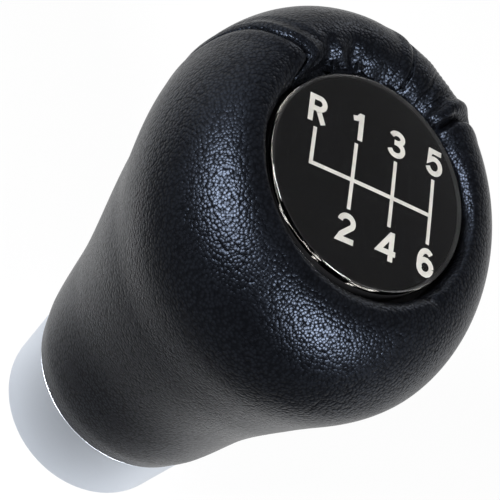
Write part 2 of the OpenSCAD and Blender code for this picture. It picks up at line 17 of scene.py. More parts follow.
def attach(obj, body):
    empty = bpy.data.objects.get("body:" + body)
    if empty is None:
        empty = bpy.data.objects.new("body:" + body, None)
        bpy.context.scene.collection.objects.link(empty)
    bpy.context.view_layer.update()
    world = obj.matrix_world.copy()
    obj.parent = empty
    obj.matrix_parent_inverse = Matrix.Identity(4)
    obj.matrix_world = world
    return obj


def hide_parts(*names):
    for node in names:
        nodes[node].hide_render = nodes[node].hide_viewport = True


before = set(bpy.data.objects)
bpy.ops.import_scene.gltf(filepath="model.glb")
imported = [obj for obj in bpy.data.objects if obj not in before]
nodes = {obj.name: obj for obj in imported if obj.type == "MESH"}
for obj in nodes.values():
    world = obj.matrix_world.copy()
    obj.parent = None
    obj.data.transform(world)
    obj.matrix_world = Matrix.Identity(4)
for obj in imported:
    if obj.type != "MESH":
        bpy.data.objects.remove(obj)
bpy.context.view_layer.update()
MM = 0.001
print("nodes:", sorted(nodes))

# %% [markdown]
# ## Small helpers
# An operator works on whatever is selected, and the loaded nodes arrive selected. So each step starts from
# an empty selection and one active object.


# %% Selecting, entering edit mode and finishing a piece
def choose(piece):
    for other in bpy.context.selected_objects:
        other.select_set(False)
    bpy.context.view_layer.objects.active = piece
    piece.select_set(True)


def new_piece(name):
    piece = bpy.context.active_object
    piece.name = name
    piece.data.name = name
    return piece


def pick(piece, kind, wanted):
    """Selects the faces, edges or vertices that a test picks, and leaves the piece in edit mode."""
    choose(piece)
    bpy.ops.object.mode_set(mode="EDIT")
    bpy.ops.mesh.select_mode(type=kind)
    bpy.ops.mesh.select_all(action="DESELECT")
    bpy.ops.object.mode_set(mode="OBJECT")
    mesh = piece.data
    members = {"VERT": mesh.vertices, "EDGE": mesh.edges, "FACE": mesh.polygons}[kind]
    for member in members:
        member.select = bool(wanted(member))
    bpy.ops.object.mode_set(mode="EDIT")


def object_mode():
    bpy.ops.object.mode_set(mode="OBJECT")


def apply_place(piece):
    choose(piece)
    bpy.ops.object.transform_apply(location=True, rotation=True, scale=True)


def apply_modifier(piece, kind, **settings):
    choose(piece)
    modifier = piece.modifiers.new(kind.title(), kind)
    for key, value in settings.items():
        setattr(modifier, key, value)
    bpy.ops.object.modifier_apply(modifier=modifier.name)


def smooth(piece, degrees):
    choose(piece)
    bpy.ops.object.shade_smooth_by_angle(angle=math.radians(degrees))


def report(piece):
    size = [round(v / MM, 2) for v in piece.dimensions]
    print(piece.name, "faces:", len(piece.data.polygons), "size in mm:", size)


# %% [markdown]
# ## The camera
# The photograph looks down on the knob from the driver's left, and the knob leans to the right in it. Its
# place and turn were found from the ellipses of the collar and of the dial. A camera looks along its own -Z,
# so the turn is written by three directions: right, up and back.

# %% Camera
CAMERA_PLACE = Vector((-0.0811, -0.1075, 0.1853))
CAMERA_RIGHT = Vector((0.8394, 0.0452, 0.5416)).normalized()
CAMERA_FORWARD = Vector((0.4196, 0.5796, -0.6986)).normalized()
FOCAL_PIXELS = 1289
IMAGE_WIDTH = 500
SENSOR = 36

camera_data = bpy.data.cameras.new("camera")
camera_data.sensor_width = SENSOR
camera_data.lens = SENSOR * FOCAL_PIXELS / IMAGE_WIDTH
camera = bpy.data.objects.new("camera", camera_data)
bpy.context.scene.collection.objects.link(camera)
camera_up = CAMERA_RIGHT.cross(CAMERA_FORWARD)
turn = Matrix((CAMERA_RIGHT, camera_up, -CAMERA_FORWARD)).transposed()
camera.matrix_world = Matrix.Translation(CAMERA_PLACE) @ turn.to_4x4()
bpy.context.scene.camera = camera
print("lens in mm:", round(camera_data.lens, 1))

# %% [markdown]
# ## The form of the grip
# The leather cover follows one smooth form: round at the collar, slim above it, full at the head and rolled
# in around the dial. The solid model makes it from the sizes below, and the cover that is modelled here has
# to fit it, so the same sizes are used. A place on the form has a stage, which runs up the grip, and an
# azimuth around it. Stages 0 to 1 are the flank, 1 to 2 the shoulder, 2 to 3 the roll around the dial, and
# 3 to 4 the leather that is tucked down beside the dial.

# %% Sizes of the grip, in millimetres
COLLAR_H = 15.4
RISES = np.array([0, 4.6, 18.6, 36.6, 51.9])
DIAMETERS = np.array([34, 36.9, 41.4, 50.4, 56.8])
CREST_RISE = 65.7
CREST_D = 37.4
HEAD_SLIM = 0.934
SLIM_RISE = 38.6
SHOULDER_FULLNESS = 1.08
FOOT_LEAN = math.radians(2.6)
CREST_SHIFT = -0.15
DIAL_TILT = math.radians(9.8)
TILT_POWER = 2.5
DIAL_D = 31
DIAL_SINK = 0.7
DIAL_BACK = 1.4
LIP_GAP = 0.75
LIP_SHIFT = 0.3
LIP_DROP = 2
SEAT_DEPTH = 4
LEATHER_T = 1.2

station_z = COLLAR_H + RISES
station_r = DIAMETERS / 2
chords = (station_r[2:] - station_r[:-2]) / (station_z[2:] - station_z[:-2])
foot_slope = (station_r[1] - station_r[0]) / (station_z[1] - station_z[0])
slopes = np.array([foot_slope, *chords, 0])
belly_z = station_z[-1]
belly_r = station_r[-1]
crest_z = COLLAR_H + CREST_RISE
crest_r = CREST_D / 2
dial_r = DIAL_D / 2
lip_r = dial_r + LIP_GAP
dial_y = CREST_SHIFT - DIAL_BACK * math.cos(DIAL_TILT) + DIAL_SINK * math.sin(DIAL_TILT)
dial_z = crest_z - DIAL_BACK * math.sin(DIAL_TILT) - DIAL_SINK * math.cos(DIAL_TILT)
on_dial = Matrix.Translation((0, dial_y * MM, dial_z * MM)) @ Matrix.Rotation(DIAL_TILT, 4, "X")
print("centre of the dial in mm:", round(dial_y, 2), round(dial_z, 2))


# %% Humps and slopes, which all the relief is made of
def bump(x):
    return np.where(np.abs(x) < 1, (1 - np.minimum(np.abs(x), 1) ** 2) ** 2, 0)


def ease(x):
    t = np.clip(x, 0, 1)
    return t * t * (3 - 2 * t)


def swell(x, height, middle, half_width):
    """A hump of a height, round a middle."""
    return height * bump((x - middle) / half_width)


def climb(x, height, start, length):
    """A slope from 0 to a height, over a length."""
    return height * ease((x - start) / length)


print("half way up a slope of 2:", float(climb(1.5, 2, 1, 1)))

# %% A place on the smooth form, and the way out of it
STAGE_STEP = 0.01
AZIMUTH_STEP = 0.5


def form(stage, azimuth):
    """Points of the smooth form, in mm, for arrays of stages and of azimuths in degrees."""
    # The flank: a smooth curve through the stations
    z = COLLAR_H + np.minimum(stage, 1) * RISES[-1]
    i = np.clip(np.searchsorted(station_z, z, side="right") - 1, 0, len(RISES) - 2)
    span = station_z[i + 1] - station_z[i]
    t = (z - station_z[i]) / span
    r = (2 * t**3 - 3 * t * t + 1) * station_r[i] + (3 * t * t - 2 * t**3) * station_r[i + 1]
    r = r + span * ((t**3 - 2 * t * t + t) * slopes[i] + (t**3 - t * t) * slopes[i + 1])
    # The shoulder: a quarter of an ellipse, a little fuller
    shoulder = np.clip(stage - 1, 0, 1) * math.pi / 2
    r = np.where(stage > 1, crest_r + (belly_r - crest_r) * np.cos(shoulder) ** SHOULDER_FULLNESS, r)
    z = np.where(stage > 1, belly_z + (crest_z - belly_z) * np.sin(shoulder) ** SHOULDER_FULLNESS, z)
    # The spine leans at the foot and ends square to the dial, and the sections turn oval on the way
    slim = 1 + (HEAD_SLIM - 1) * np.minimum(1, (z - COLLAR_H) / SLIM_RISE)
    u = (z - COLLAR_H) / CREST_RISE
    mid_y = (u**3 - 2 * u * u + u) * CREST_RISE * math.tan(FOOT_LEAN) + (3 * u * u - 2 * u**3) * CREST_SHIFT
    mid_y = mid_y - (u**3 - u * u) * CREST_RISE * math.tan(DIAL_TILT)
    tilt = DIAL_TILT * u**TILT_POWER
    half_width = r * slim
    half_depth = r / slim
    # The roll and the tuck, in the plane of the dial
    roll = np.clip(stage - 2, 0, 1) * math.pi / 2
    tuck = np.clip(stage - 3, 0, 1)
    w = DIAL_SINK - LIP_DROP * (1 - np.cos(roll)) - tuck * (SEAT_DEPTH + DIAL_SINK - LIP_DROP)
    v = DIAL_BACK * (1 - np.sin(roll)) - LIP_SHIFT * np.sin(roll)
    beside_dial = stage > 2
    mid_y = np.where(beside_dial, dial_y + v * math.cos(DIAL_TILT) - w * math.sin(DIAL_TILT), mid_y)
    z = np.where(beside_dial, dial_z + v * math.sin(DIAL_TILT) + w * math.cos(DIAL_TILT), z)
    tilt = np.where(beside_dial, DIAL_TILT, tilt)
    crest_x = crest_r * HEAD_SLIM
    crest_y = crest_r / HEAD_SLIM
    half_width = np.where(beside_dial, crest_x + (lip_r - crest_x) * np.sin(roll), half_width)
    half_depth = np.where(beside_dial, crest_y + (lip_r - crest_y) * np.sin(roll), half_depth)
    across = half_width * np.cos(np.radians(azimuth))
    along = half_depth * np.sin(np.radians(azimuth))
    return np.stack([across, mid_y + along * np.cos(tilt), z + along * np.sin(tilt)], -1)


def outward(stage, azimuth):
    """Unit directions square to the smooth form, pointing out of the grip."""
    low = np.maximum(stage - STAGE_STEP, 0)
    high = np.minimum(stage + STAGE_STEP, 3)
    up = form(high, azimuth) - form(low, azimuth)
    level = np.minimum(stage, 3)
    around = form(level, azimuth + AZIMUTH_STEP) - form(level, azimuth - AZIMUTH_STEP)
    normal = np.cross(around, up)
    return normal / np.linalg.norm(normal, axis=-1, keepdims=True)


print("a place on the belly in mm:", np.round(form(np.array(1.0), np.array(0.0)), 2))

# %% [markdown]
# ## The seams
# The cover is cut from two panels. The large one runs round the driver's side and the smaller one lies on
# the far side, where the leather is gathered in round the dial. The two seams run up the grip and close in
# on each other over the head. The folds are drawn as if the seams were straight, so a place across the far
# panel is a share of its width at that stage.

# %% Where the seams run
FAR_SIDE = 90
SEAM_SPREAD = 60
# Turns of the seams: degrees, then a slope's start and length, or a hump's middle and half width, as stages
CLOSING_SLOPE = (18, 1, 1.8)
RIGHT_SLOPE = (2.6, 0.9, 1)
RIGHT_HUMP = (1.6, 1.8, 0.5)
LEFT_SLOPE = (11, 2.2, 0.5)
LEFT_HUMP = (3, 1.42, 0.4)


def from_far_side(azimuth):
    """Angle from the far side of the grip, in degrees, below 0 on the right."""
    return (azimuth - FAR_SIDE + 180) % 360 - 180


def seam_angle(stage, right):
    """Angle between a seam and the far side of the grip, in degrees. The left one turns back at the rim."""
    angle = SEAM_SPREAD - climb(stage, *CLOSING_SLOPE)
    drawn_in = angle - climb(stage, *RIGHT_SLOPE) - swell(stage, *RIGHT_HUMP)
    turned_back = angle + climb(stage, *LEFT_SLOPE) - swell(stage, *LEFT_HUMP)
    return np.where(right, drawn_in, turned_back)


def panel_azimuth(straight, stage):
    """The true azimuth of a place whose azimuth is given with the seams taken as straight."""
    from_far = from_far_side(straight)
    angle = seam_angle(stage, from_far < 0)
    inside = np.abs(from_far) <= SEAM_SPREAD
    outside = angle + (np.abs(from_far) - SEAM_SPREAD) * (180 - angle) / (180 - SEAM_SPREAD)
    return FAR_SIDE + np.sign(from_far) * np.where(inside, np.abs(from_far) * angle / SEAM_SPREAD, outside)


left_at_rim = panel_azimuth(np.array(FAR_SIDE + SEAM_SPREAD), np.array(2.6))
print("left seam at the rim in degrees:", round(float(left_at_rim), 1))

# %% [markdown]
# ## Folds, gathers and puckers
# Leather that is drawn in over a tight edge gathers: it lies in soft ridges with sharp valleys between them,
# which run towards the dial and die out down the shoulder. Each one is written as a line on the form, given
# by the places that it passes as (straightened azimuth, stage), with a half width and a height in
# millimetres. A positive height is a ridge and a negative one a crease. Simulated cloth would gather by
# itself, but the real gathers have their places, so they are drawn, as in sculpting.

# %% Lines of the folds: places, half width, height
FOLDS = [
    ([(140, 1.7), (141, 2.18), (144, 2.35), (139, 2.54), (137, 3)], 2.0, 0.3),
    ([(131, 1.8), (132, 2.18), (129, 2.42), (124, 2.62), (122, 3)], 1.6, -0.5),
    ([(127, 2.0), (125, 2.27), (116, 2.52), (112, 2.69), (110, 3)], 1.5, 0.4),
    ([(115, 1.9), (113, 2.25), (110, 2.44), (106, 2.62), (104, 3)], 1.6, -0.5),
    ([(97, 1.5), (96, 2.2), (95, 3)], 4.5, 0.3),
    ([(80, 1.5), (73, 1.75), (71, 2.0), (70, 2.3), (71, 3)], 0.45, -0.5),
    ([(87, 1.5), (78, 1.8), (75, 2.05), (75, 2.7)], 1.4, 0.35),
    ([(61, 1.5), (60, 2.1), (58, 2.6), (58, 3)], 1.8, 0.25),
    ([(54, 1.7), (53, 2.2), (54, 3)], 0.9, -0.35),
    ([(46, 1.6), (44, 1.95), (44, 2.3), (47, 2.7), (48, 3)], 1.0, -0.45),
    ([(38, 1.4), (37, 1.75), (36, 2.1), (38, 2.6)], 1.6, 0.6),
    ([(310, 1.85), (306, 2.2), (303, 2.8)], 1.3, -0.35),
]
STEPS_PER_PLACE = 6
TAPER = 0.35


def fold_lift(points):
    """Height of all the folds at points of the form."""
    lift = np.zeros(len(points))
    for places, half_width, height in FOLDS:
        straight, stage = np.array(places, float).T
        steps = np.linspace(0, len(places) - 1, STEPS_PER_PLACE * len(places))
        at_stage = np.interp(steps, range(len(places)), stage)
        at_azimuth = panel_azimuth(np.interp(steps, range(len(places)), straight), at_stage)
        line = form(at_stage, at_azimuth)
        nearest = np.full(len(points), np.inf)
        along = np.zeros(len(points))
        for k in range(len(line) - 1):
            step = line[k + 1] - line[k]
            t = np.clip((points - line[k]) @ step / (step @ step), 0, 1)
            away = np.linalg.norm(points - line[k] - t[:, None] * step, axis=1)
            closer = away < nearest
            nearest = np.where(closer, away, nearest)
            along = np.where(closer, (k + t) / (len(line) - 1), along)
        lift += height * ease(along / TAPER) * bump(nearest / half_width)
    return lift


print("folds:", len(FOLDS))

# %% [markdown]
# Fine wrinkles are too many to draw one by one. They come from a ripple across the far panel, which is strong
# near the dial and in the narrow strip beside the right seam, where the leather is squeezed the most. Its
# waves sway and drift by uneven numbers, so that no two wrinkles are alike. The gathers also pull the leather
# down: on the far side it slopes to the dial early.

# %% Waves of the ripple, and where it is strong
# Waves in a turn, how far they sway across the panel and how often, how far they drift up it and how often
BROAD_WAVES = (9, 1.7, 3.3, 0.9, 4.1)
FINE_WAVES = (23, 2.1, 5.1, 1.3, 5.3)
CREASES = 150
CREASE_DRIFT = (2.4, 7)
CREASE_SWAY = 1.9
RIM_WAVES = (1.3, 0.6)
RIM_SHARE = 0.7
# Heights in millimetres
FINE_H = 0.11
CREASE_H = 0.05
# Humps and slopes: a height, then the middle and the half width, or the start and the length
DIAL_HUMP = (0.1, 2.5, 0.8)
RIM_HUMP = (0.07, 2.9, 0.7)
STRIP_HUMP = (1, -36, 22)
SHOULDER_HUMP = (1, 2.1, 0.9)
PANEL_MARGIN = 4
PANEL_FADE = 14
DIP_SLOPE = (-0.8, 2.1, 0.6)
DIP_RIGHT = (1, 45, 50)
DIP_LEFT = (1, 150, -25)


# %% Fine wrinkles and the dip near the dial
def winding(from_far, stage, count, sway, sway_count, drift, drift_count):
    """Phase of waves that sway across the panel and drift up it."""
    across = np.radians(from_far * count) + sway * np.sin(np.radians(from_far * sway_count))
    return across + drift * np.sin(stage * drift_count)


def ripple(straight, stage):
    """Height of the fine wrinkles."""
    from_far = from_far_side(straight)
    broad = winding(from_far, stage, *BROAD_WAVES)
    fine = winding(from_far, stage, *FINE_WAVES)
    drift, drift_count = CREASE_DRIFT
    crease = np.radians(from_far * CREASES) + drift * np.sin(stage * drift_count) + CREASE_SWAY * np.sin(fine)
    near_dial = swell(stage, *DIAL_HUMP) * ease((SEAM_SPREAD + PANEL_MARGIN - np.abs(from_far)) / PANEL_FADE)
    in_strip = swell(from_far, *STRIP_HUMP) * swell(stage, *SHOULDER_HUMP)
    at_rim = np.sin(broad * RIM_WAVES[0]) + RIM_SHARE * np.sin(fine * RIM_WAVES[1])
    lift = near_dial * np.sin(broad) + in_strip * (FINE_H * np.sin(fine) + CREASE_H * np.sin(crease))
    return lift + swell(stage, *RIM_HUMP) * at_rim


def far_dip(stage, azimuth):
    """Height of the early slope to the dial on the far side."""
    return climb(stage, *DIP_SLOPE) * climb(azimuth, *DIP_RIGHT) * climb(azimuth, *DIP_LEFT)


print("dip at the far side in mm:", round(float(far_dip(2.6, FAR_SIDE)), 2))

# %% [markdown]
# ## The two leather panels
# A panel starts as a flat sheet, a grid primitive, just as the real one is cut flat. Its width becomes a
# share of the way between the seams and its length a stage, with the rings closer together on the head. Then
# each vertex is moved to its place on the form and lifted by the folds and by the seam's edge. Solidify
# gives the sheet the thickness of the leather, inwards. A remeshed and inflated block would lose the seams
# and the lip, so it isn't used here. The panels are glued down hard at the seams, above all on the shoulder,
# and their foot is folded over, so it stands a little proud of the collar.

# %% The edges of the panels at the seams and at the collar, in millimetres
FOOT_ROLL = 0.13
FOOT_REACH = 3
LEFT_EDGE_ROLL = 0.6
RIGHT_EDGE_ROLL = 1.0
EDGE_DROP = 1.1
FLAT_SEAM = 0.35
DEEP_SEAM = (1 - FLAT_SEAM, 2, 1.3)
EDGE_HUMP = (0.15, 1.7, 1.6)
# On the left the far panel's edge has a narrow bulge with a hollow behind it
LEFT_FAR_HUMP = (0.25, 1.4, 0.9)
LEFT_FAR_HOLLOW = (-0.2, 3, 1.2)


def seam_lift(distance, stage, far_panel, left):
    """Height of a panel beside its seam: the edge rolls under, and bulges a little behind the roll."""
    reach = LEFT_EDGE_ROLL if left else RIGHT_EDGE_ROLL
    roll = -EDGE_DROP * (1 - np.minimum(distance / reach, 1)) ** 2
    strength = FLAT_SEAM + swell(stage, *DEEP_SEAM)
    if far_panel and left:
        return strength * (roll + swell(distance, *LEFT_FAR_HUMP) + swell(distance, *LEFT_FAR_HOLLOW))
    return strength * (roll + swell(distance, *EDGE_HUMP))


print("strength of a seam on the flank and on the shoulder:", FLAT_SEAM, FLAT_SEAM + DEEP_SEAM[0])

# %% A panel of leather
RINGS = 150
FRONT_COLUMNS = 270
BACK_COLUMNS = 280
# Shares of the sheet's length at which the stages 0 to 4 are reached
LEVELS = [0, 0.32, 0.72, 0.94, 1]
TUCK_END = 3.6
TUCK_FADE = 0.6
COVER_SMOOTH = 60


def leather_panel(name, columns, far_panel):
    bpy.ops.mesh.primitive_grid_add(x_subdivisions=columns, y_subdivisions=RINGS, size=2)
    panel = new_piece(name)
    flat = np.empty(len(panel.data.vertices) * 3)
    panel.data.vertices.foreach_get("co", flat)
    flat = flat.reshape(-1, 3)
    share = (flat[:, 0] + 1) / 2
    level = (flat[:, 1] + 1) / 2
    stage = np.interp(level, LEVELS, range(len(LEVELS)))
    left_seam = FAR_SIDE + SEAM_SPREAD
    right_seam = FAR_SIDE - SEAM_SPREAD
    if far_panel:
        straight = right_seam + 2 * SEAM_SPREAD * share
    else:
        straight = left_seam + (360 - 2 * SEAM_SPREAD) * share
    azimuth = panel_azimuth(straight, stage)
    points = form(stage, azimuth)
    for seam in (left_seam, right_seam):
        line = form(stage, panel_azimuth(np.full(len(stage), float(seam)), stage))
        distance = np.linalg.norm(points - line, axis=1)
        lift = seam_lift(distance, stage, far_panel, seam == left_seam)
        points = points + lift[:, None] * outward(stage, azimuth)
    lift = fold_lift(form(stage, azimuth)) + ripple(straight, stage) + far_dip(stage, azimuth)
    lift += FOOT_ROLL * ease(1 - stage * RISES[-1] / FOOT_REACH)
    lift *= ease((TUCK_END - stage) / TUCK_FADE)
    points = points + lift[:, None] * outward(stage, azimuth)
    panel.data.vertices.foreach_set("co", (points * MM).ravel())
    panel.data.update()
    apply_modifier(panel, "SOLIDIFY", thickness=LEATHER_T * MM, offset=-1)
    smooth(panel, COVER_SMOOTH)
    report(panel)
    return panel


# %% Sew the cover
cover_front = leather_panel("cover_front", FRONT_COLUMNS, False)
cover_back = leather_panel("cover_back", BACK_COLUMNS, True)
for cover, node in ((cover_front, "leather_front"), (cover_back, "leather_back")):
    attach(cover, "root")
    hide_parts(node)

# %% [markdown]
# ## The foam under the leather
# The foam is moulded round the core and is hidden by the cover. Its solid has the right form, so a copy of
# it is merged, and only its edge beside the dial is pressed down where the leather slopes on the far side.

# %% Foam, with sizes in millimetres
FOAM_MERGE = 0.01
QUAD_ANGLE = math.radians(60)
FOAM_EDGE_R = 21
FOAM_EDGE_DEPTH = 2.5

foam = bpy.data.objects.new("grip_foam", nodes["padding"].data.copy())
bpy.context.scene.collection.objects.link(foam)
pick(foam, "VERT", lambda vertex: True)
bpy.ops.mesh.remove_doubles(threshold=FOAM_MERGE * MM)
bpy.ops.mesh.tris_convert_to_quads(face_threshold=QUAD_ANGLE, shape_threshold=QUAD_ANGLE)
object_mode()
for vertex in foam.data.vertices:
    x, y, w = on_dial.inverted() @ vertex.co / MM
    reach = math.hypot(x, y)
    if w > -FOAM_EDGE_DEPTH and reach < FOAM_EDGE_R:
        stage = np.interp(reach, [lip_r + LEATHER_T, FOAM_EDGE_R], [3, 2])
        vertex.co.z += float(far_dip(stage, math.degrees(math.atan2(y, x)))) * MM
smooth(foam, COVER_SMOOTH)
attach(foam, "root")
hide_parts("padding")
report(foam)

# %% [markdown]
# ## The dial's clear dome
# Clear resin is poured on the printed plate and draws itself into a flat dome with a rounded rim. The rim
# catches the light as a thin bright line, so it needs a real radius. A disc is added at the dial's size, and
# its face is extruded up and narrowed ring by ring: up the straight edge, round the rim and over the dome.

# %% The dome's section, in millimetres
DOME_EDGE = 0.9
DOME_RISE = 0.7
RIM_ROUND = 0.55
RIM_STEPS = 6
TOP_STEPS = 12


def dome_height(radius):
    bow = (dial_r * dial_r + DOME_RISE * DOME_RISE) / (2 * DOME_RISE)
    return math.sqrt(bow * bow - radius * radius) - bow + DOME_RISE


def dome_profile():
    """Radius and height of the rings from the top of the straight edge to near the middle."""
    inner = dial_r - RIM_ROUND
    rise = dome_height(inner)
    rings = []
    for step in range(RIM_STEPS + 1):
        angle = math.pi / 2 * step / RIM_STEPS
        rings.append((inner + RIM_ROUND * math.cos(angle), rise - RIM_ROUND * (1 - math.sin(angle))))
    for step in range(1, TOP_STEPS):
        radius = inner * (1 - step / TOP_STEPS)
        rings.append((radius, dome_height(radius)))
    return rings


print("top of the rim in mm:", round(dome_height(dial_r - RIM_ROUND), 3))

# %% Dome
DOME_SIDES = 160
DOME_SMOOTH = 50


def place_on_dial(piece):
    piece.matrix_world = on_dial @ piece.matrix_world
    apply_place(piece)


bpy.ops.mesh.primitive_circle_add(
    vertices=DOME_SIDES, radius=dial_r * MM, fill_type="NGON", location=(0, 0, -DOME_EDGE * MM)
)
dome = new_piece("clear_dome")
bpy.ops.object.transform_apply(location=True)
pick(dome, "FACE", lambda face: True)
last_r = dial_r
last_h = -DOME_EDGE
for ring_r, ring_h in dome_profile():
    narrowing = ring_r / last_r
    bpy.ops.mesh.extrude_region_move(TRANSFORM_OT_translate={"value": (0, 0, (ring_h - last_h) * MM)})
    bpy.ops.transform.resize(value=(narrowing, narrowing, 1), center_override=(0, 0, ring_h * MM))
    last_r = ring_r
    last_h = ring_h
bpy.ops.mesh.select_all(action="SELECT")
bpy.ops.mesh.normals_make_consistent(inside=False)
object_mode()
place_on_dial(dome)
smooth(dome, DOME_SMOOTH)
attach(dome, "root")
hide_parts("dial_dome")
report(dome)

# %% [markdown]
# ## The shift pattern
# The pattern is printed on the plate in off-white: R and the numbers 1 to 6 at the ends of the gates, joined
# by one bar. Ink lies on the plate as a thin film, so each line is a plane given a film's thickness. The
# numbers are plain and heavy with an even stroke, so each is drawn as bands along a few lines and arcs. Where
# two strokes cross, one lies a hair higher, because two faces in one place show as specks.

# %% Gates, with sizes in millimetres
GATES = 4
GATE_PITCH = 6.47
GATE_OFFSET = 0.38
BAR_Y = -1.11
GATE_UP = 5.61
GATE_DOWN = 4.34
REVERSE_UP = 5.33
LINE_W = 0.55
INK_T = 0.03
INK_STEP = 0.004
PLATE_TOP = -0.9
gate_x = [GATE_OFFSET + (i - (GATES - 1) / 2) * GATE_PITCH for i in range(GATES)]


def ink_z(level):
    return (PLATE_TOP + level * INK_STEP) * MM


def ink_line(name, left, right, low, high, level):
    bpy.ops.mesh.primitive_plane_add(size=1)
    line = new_piece(name)
    line.scale = ((right - left) * MM, (high - low) * MM, 1)
    line.location = ((left + right) / 2 * MM, (low + high) / 2 * MM, ink_z(level))
    apply_place(line)
    return line


half = LINE_W / 2
lines = [ink_line("bar", gate_x[0] - half, gate_x[-1] + half, BAR_Y - half, BAR_Y + half, 0)]
lines.append(ink_line("gate_r", gate_x[0] - half, gate_x[0] + half, BAR_Y, BAR_Y + REVERSE_UP, 1))
for x in gate_x[1:]:
    lines.append(ink_line("gate", x - half, x + half, BAR_Y - GATE_DOWN, BAR_Y + GATE_UP, 1))
print("lines:", len(lines), "gates at", [round(x, 2) for x in gate_x])

# %% Strokes of the numbers, in millimetres from each number's middle
ARC_STEPS = 14


def arc(middle, reach, first, last):
    """Points along a stretch of an ellipse, between two angles in degrees."""
    turns = [math.radians(first + (last - first) * k / ARC_STEPS) for k in range(ARC_STEPS + 1)]
    return [(middle[0] + reach[0] * math.cos(a), middle[1] + reach[1] * math.sin(a)) for a in turns]


SIGNS = {
    "R": [
        [(-0.95, -2.1), (-0.95, 2.1)],
        [(-0.95, 1.71), *arc((0.2, 0.86), (0.85, 0.85), 90, -90), (-0.95, 0.01)],
        [(0.1, 0.0), (1.1, -2.1)],
    ],
    "1": [[(0.45, -2.1), (0.45, 2.1)], [(-0.85, 1.02), (-0.1, 1.2), (0.3, 1.75)]],
    "2": [[*arc((0, 0.78), (1.02, 0.93), 175, -28), (-0.62, -1.05), (-0.95, -1.71), (1.35, -1.71)]],
    "3": [
        [*arc((-0.05, 0.98), (0.95, 0.75), 165, -90), (-0.45, 0.23)],
        [(-0.2, 0.23), *arc((-0.05, -0.75), (1.1, 0.97), 85, -168)],
    ],
    "4": [[(0.75, -2.1), (0.75, 2.1)], [(0.62, 1.75), (-1.2, -0.87), (1.5, -0.87)]],
    "5": [[(1.15, 1.71), (-0.72, 1.71), (-0.92, 0.1), *arc((0.02, -0.55), (1.1, 1.15), 135, -165)]],
    "6": [
        [*arc((0, -0.66), (1.05, 1.05), 0, 360)],
        [*arc((0.05, 0.0), (1.1, 1.72), 215, 48)],
    ],
}
print("strokes of each number:", {sign: len(strokes) for sign, strokes in SIGNS.items()})

# %% Numbers
NUMBER_GAP = 2.7
R_DROP = 0.2
NUMBER_UP = BAR_Y + GATE_UP + NUMBER_GAP
NUMBER_DOWN = BAR_Y - GATE_DOWN - NUMBER_GAP
STROKE_W = 0.78
MITRE_LIMIT = 0.5


def stroke(points, name):
    """A flat band of even width along a line, mitred at its corners and cut square at its ends."""
    line = [Vector(point) for point in points]
    ways = [(b - a).normalized() for a, b in zip(line, line[1:])]
    left = []
    right = []
    for k, point in enumerate(line):
        before = ways[max(k - 1, 0)]
        after = ways[min(k, len(ways) - 1)]
        middle = (before + after).normalized()
        side = Vector((-middle.y, middle.x)) * STROKE_W / 2 / max(MITRE_LIMIT, middle.dot(after))
        left.append((*(point + side), 0))
        right.append((*(point - side), 0))
    mesh = bpy.data.meshes.new(name)
    cells = [(k + 1, k, k + len(line), k + 1 + len(line)) for k in range(len(line) - 1)]
    mesh.from_pydata(left + right, [], cells)
    band = bpy.data.objects.new(name, mesh)
    bpy.context.scene.collection.objects.link(band)
    return band


def number(sign, x, y):
    marks = []
    for level, points in enumerate(SIGNS[sign]):
        band = stroke(points, "number_" + sign)
        band.location = (x * MM, y * MM, ink_z(level))
        band.scale = (MM, MM, MM)
        apply_place(band)
        marks.append(band)
    return marks


numbers = [
    *number("R", gate_x[0], NUMBER_UP - R_DROP),
    *number("1", gate_x[1], NUMBER_UP),
    *number("3", gate_x[2], NUMBER_UP),
    *number("5", gate_x[3], NUMBER_UP),
    *number("2", gate_x[1], NUMBER_DOWN),
    *number("4", gate_x[2], NUMBER_DOWN),
    *number("6", gate_x[3], NUMBER_DOWN),
]
choose(lines[0])
for mark in lines + numbers:
    mark.select_set(True)
bpy.ops.object.join()
pattern = new_piece("shift_pattern")
apply_modifier(pattern, "SOLIDIFY", thickness=INK_T * MM, offset=1)
place_on_dial(pattern)
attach(pattern, "root")
report(pattern)

# %% [markdown]
# ## Materials
# A colour is written as the hex value that a painter would read from the finished object, and one function
# turns it to the linear values that a shader needs. One more function adds a node with its settings and its
# links.


# %% Colour and node helpers
def colour(code):
    channels = [int(code[i : i + 2], 16) / 255 for i in (1, 3, 5)]
    linear = [c / 12.92 if c <= 0.04045 else ((c + 0.055) / 1.055) ** 2.4 for c in channels]
    return (*linear, 1)


def add_node(tree, kind, links=None, **settings):
    """Adds a node, sets its properties or socket values, and links sockets to other nodes' outputs."""
    node = tree.nodes.new(kind)
    for key, value in settings.items():
        if hasattr(node, key):
            setattr(node, key, value)
        else:
            node.inputs[key.replace("_", " ")].default_value = value
    for key, source in (links or {}).items():
        tree.links.new(source, node.inputs[key])
    return node


def new_material(name):
    material = bpy.data.materials.new(name)
    material.use_nodes = True
    tree = material.node_tree
    shader = tree.nodes["Principled BSDF"]
    return material, tree, shader


def set_shader(shader, **values):
    for key, value in values.items():
        shader.inputs[key.replace("_", " ")].default_value = value


def give(material, *pieces):
    for piece in pieces:
        piece.data.materials.clear()
        piece.data.materials.append(material)


# %% [markdown]
# ### Pebbled leather
# Cow hide, dyed black through, with an embossed pebble grain and a satin top coat. The pebbles are about
# 0.45 mm across and stand as small domes with narrow valleys between them, so in a highlight each one
# carries its own glint. A Voronoi pattern gives the cells, and the square of the distance from a cell's
# middle gives the domes. Finer noise breaks them up. The leather is stretched along the flank, which flattens
# the pebbles there.

# %% Relief of the leather, with sizes in millimetres
PEBBLE = 0.45
PEBBLE_RISE = 0.02
PORE = 0.22
PORE_RISE = 0.004
# The squared distance is about a quarter in a valley, so the full relief is four times a pebble's rise
RELIEF = 4 * PEBBLE_RISE
FLANK_RELIEF = 0.45
